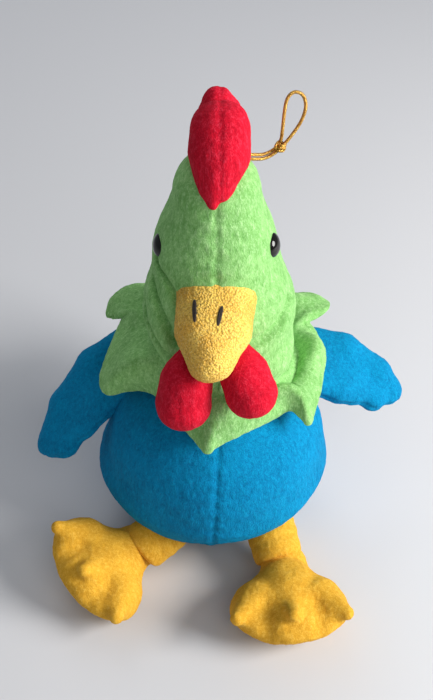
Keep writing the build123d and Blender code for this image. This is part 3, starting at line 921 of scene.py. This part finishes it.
# ---- collar ----------------------------------------------------------------------------------
# Its edge, anticlockwise from above, from the tip over the left shoulder: x, y, z
EDGE = [
    (37.0, -24.5, 88.6), (38.6, -26.6, 87.2), (40.0, -23.5, 88.2), (42.9, -15, 90.5),
    (45.5, -5, 93), (46.4, 7, 96.5), (43.6, 18, 100), (41.0, 23, 102), (46.0, 26, 103),
    (51.2, 29.5, 104), (51.2, 33, 103.6), (44, 37, 104), (34, 38, 102), (29, 38, 100),
    (17, 46, 98), (2, 53, 96), (-13, 47, 98), (-25, 39, 101), (-32, 41, 106), (-41, 39.5, 107),
    (-47.5, 34.5, 105.5), (-49.6, 31, 100.5), (-49.2, 30, 97), (-46.2, 27.5, 99.5),
    (-41.5, 24.5, 101.5), (-45.5, 17, 97), (-49, 7, 92.5), (-50.4, -2, 89.5),
    (-47.6, -8.6, 87.5), (-39.3, -9.6, 90.5), (-32.2, -10.8, 93), (-25, -15, 94),
    (-18, -23, 93), (-11, -33.5, 90.5), (-5.4, -41.2, 88.6), (-3.8, -42.4, 88),
    (-1.8, -40.6, 88.8), (4.4, -36.8, 90), (12.8, -32.4, 91), (23.5, -26.2, 91.5),
    (30.8, -22, 92.5),
]
# Its neck seam, at angles round from +X: angle, height
SEAM = [(-180, 119), (-135, 118.5), (-90, 119), (-55, 113), (-25, 103.5), (0, 101), (40, 101),
        (90, 101), (130, 104), (160, 113), (180, 119)]
SEAM_X, SEAM_Y, SEAM_R = 3.8, 1.0, 27.4
EDGE_X = 4.2            # the middle that the edge's angles are taken round
COLLAR_THICK = 2.8


def loop_through(points, count):
    """Evenly spread points on a smooth closed curve through points (Catmull-Rom)."""
    points = np.array(points, float)
    n = len(points)
    out = []
    for i in range(n):
        a, b, c, d = (points[(i + k) % n] for k in (-1, 0, 1, 2))
        for t in np.linspace(0, 1, 24, endpoint=False):
            out.append(0.5 * (2 * b + (c - a) * t + (2 * a - 5 * b + 4 * c - d) * t * t
                              + (3 * b - a - 3 * c + d) * t ** 3))
    line = np.array(out + out[:1])
    lengths = np.r_[0, np.cumsum(np.linalg.norm(np.diff(line, axis=0), axis=1))]
    where = np.linspace(0, lengths[-1], count, endpoint=False)
    return np.stack([np.interp(where, lengths, line[:, i]) for i in range(3)], 1)


def make_collar():
    around, out_steps = 420, 34
    edge = loop_through(EDGE, around)
    # the neck seam follows the edge's own angle, evened out so that the cloth doesn't bunch
    order = np.unwrap(np.arctan2(edge[:, 1], edge[:, 0] - EDGE_X))
    even = order[0] + (np.arange(around) / around) * 2 * pi
    order = 0.35 * order + 0.65 * even
    heights = np.interp((np.degrees(order) + 180) % 360 - 180, *np.array(SEAM, float).T)
    outward = np.stack([np.cos(order), np.sin(order), np.zeros(around)], 1)
    lift = np.array([0, 0, 1.0])
    inner = np.array([SEAM_X, SEAM_Y, 0]) + SEAM_R * outward + heights[:, None] * lift
    inner = (np.roll(inner, 3, 0) + inner + np.roll(inner, -3, 0)) / 3
    middle = 0.45 * inner + 0.55 * edge + outward * 5.0 + lift * 2.5
    fold = (2.4 * np.sin(order * 9 + 0.8) + 1.6 * np.sin(order * 5 + 2.1)
            + 0.8 * np.sin(order * 16))
    rows = []
    for s in np.linspace(0, 1, out_steps):      # from the neck seam out to the edge
        row = (1 - s) ** 2 * inner + 2 * s * (1 - s) * middle + s * s * edge
        # a valley along the neck and a roll beyond it, strongest under the loose pouch
        roll = 3.2 * np.exp(-((s - 0.5) / 0.2) ** 2) - 3.0 * np.exp(-((s - 0.16) / 0.1) ** 2)
        row = row + lift * (roll * (0.35 + 0.65 * np.cos((order + 0.35) / 2) ** 6))[:, None]
        bell = sin(pi * min(s * 1.15, 1.0)) ** 1.2 if s < 0.87 else 0.0
        row = row + (outward * 0.6 + lift * 0.8) * (fold * (0.25 * s + 0.75 * bell))[:, None]
        rows.append(row)
    vertices = np.concatenate(rows)
    i = np.arange(out_steps - 1)[:, None] * around
    j = np.arange(around)[None]
    k = (j + 1) % around
    quads = np.stack([i + j, i + around + j, i + around + k, i + k], -1).reshape(-1, 4)
    collar = new_mesh("collar", vertices, quads, GREEN)
    bpy.context.view_layer.objects.active = collar
    thick = collar.modifiers.new("thick", "SOLIDIFY")
    thick.thickness = COLLAR_THICK * MM
    thick.offset = 0.0
    thick.use_rim = True
    round_off = collar.modifiers.new("round", "SUBSURF")
    round_off.levels = round_off.render_levels = 1
    apply_modifiers(collar, "thick", "round")
    fluff(collar, tuft=0.18, lump=0.3)
    place(collar, "collar", ["collar_lower_layer", "collar_upper_layer"])


# ---- care label ------------------------------------------------------------------------------
LABEL_THICK = 0.35


def make_label():
    """A ribbon hanging out of the back's base seam, inside its CAD node's box."""
    low, high = (np.array(v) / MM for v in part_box("care_label"))
    wide, rows, columns = high[0] - low[0], 26, 18
    vertices = []
    for i in range(rows + 1):
        t = i / rows
        curl = -0.7 * sin(t * pi) + 0.5 * t * t
        y = low[1] + 0.2 + (high[1] - low[1] - 1.2) * t + curl
        z = low[2] + 0.3 + (high[2] - low[2] - 0.6) * (1 - t)
        for k in range(columns + 1):
            u = k / columns
            vertices.append((low[0] + wide * u, y + 0.4 * sin(u * 5 + 2 * t) * t, z))
    step = columns + 1
    quads = [(i * step + k, i * step + k + 1, (i + 1) * step + k + 1, (i + 1) * step + k)
             for i in range(rows) for k in range(columns)]
    label = new_mesh("care_label_ribbon", vertices, quads, satin())
    thick = label.modifiers.new("thick", "SOLIDIFY")
    thick.thickness = LABEL_THICK * MM
    thick.offset = 0.0
    apply_modifiers(label, "thick")
    place(label, "torso", ["care_label"])


make_camera()
make_cord()
make_stage()
make_body()
make_wings()
make_legs()
make_head()
make_collar()
make_label()
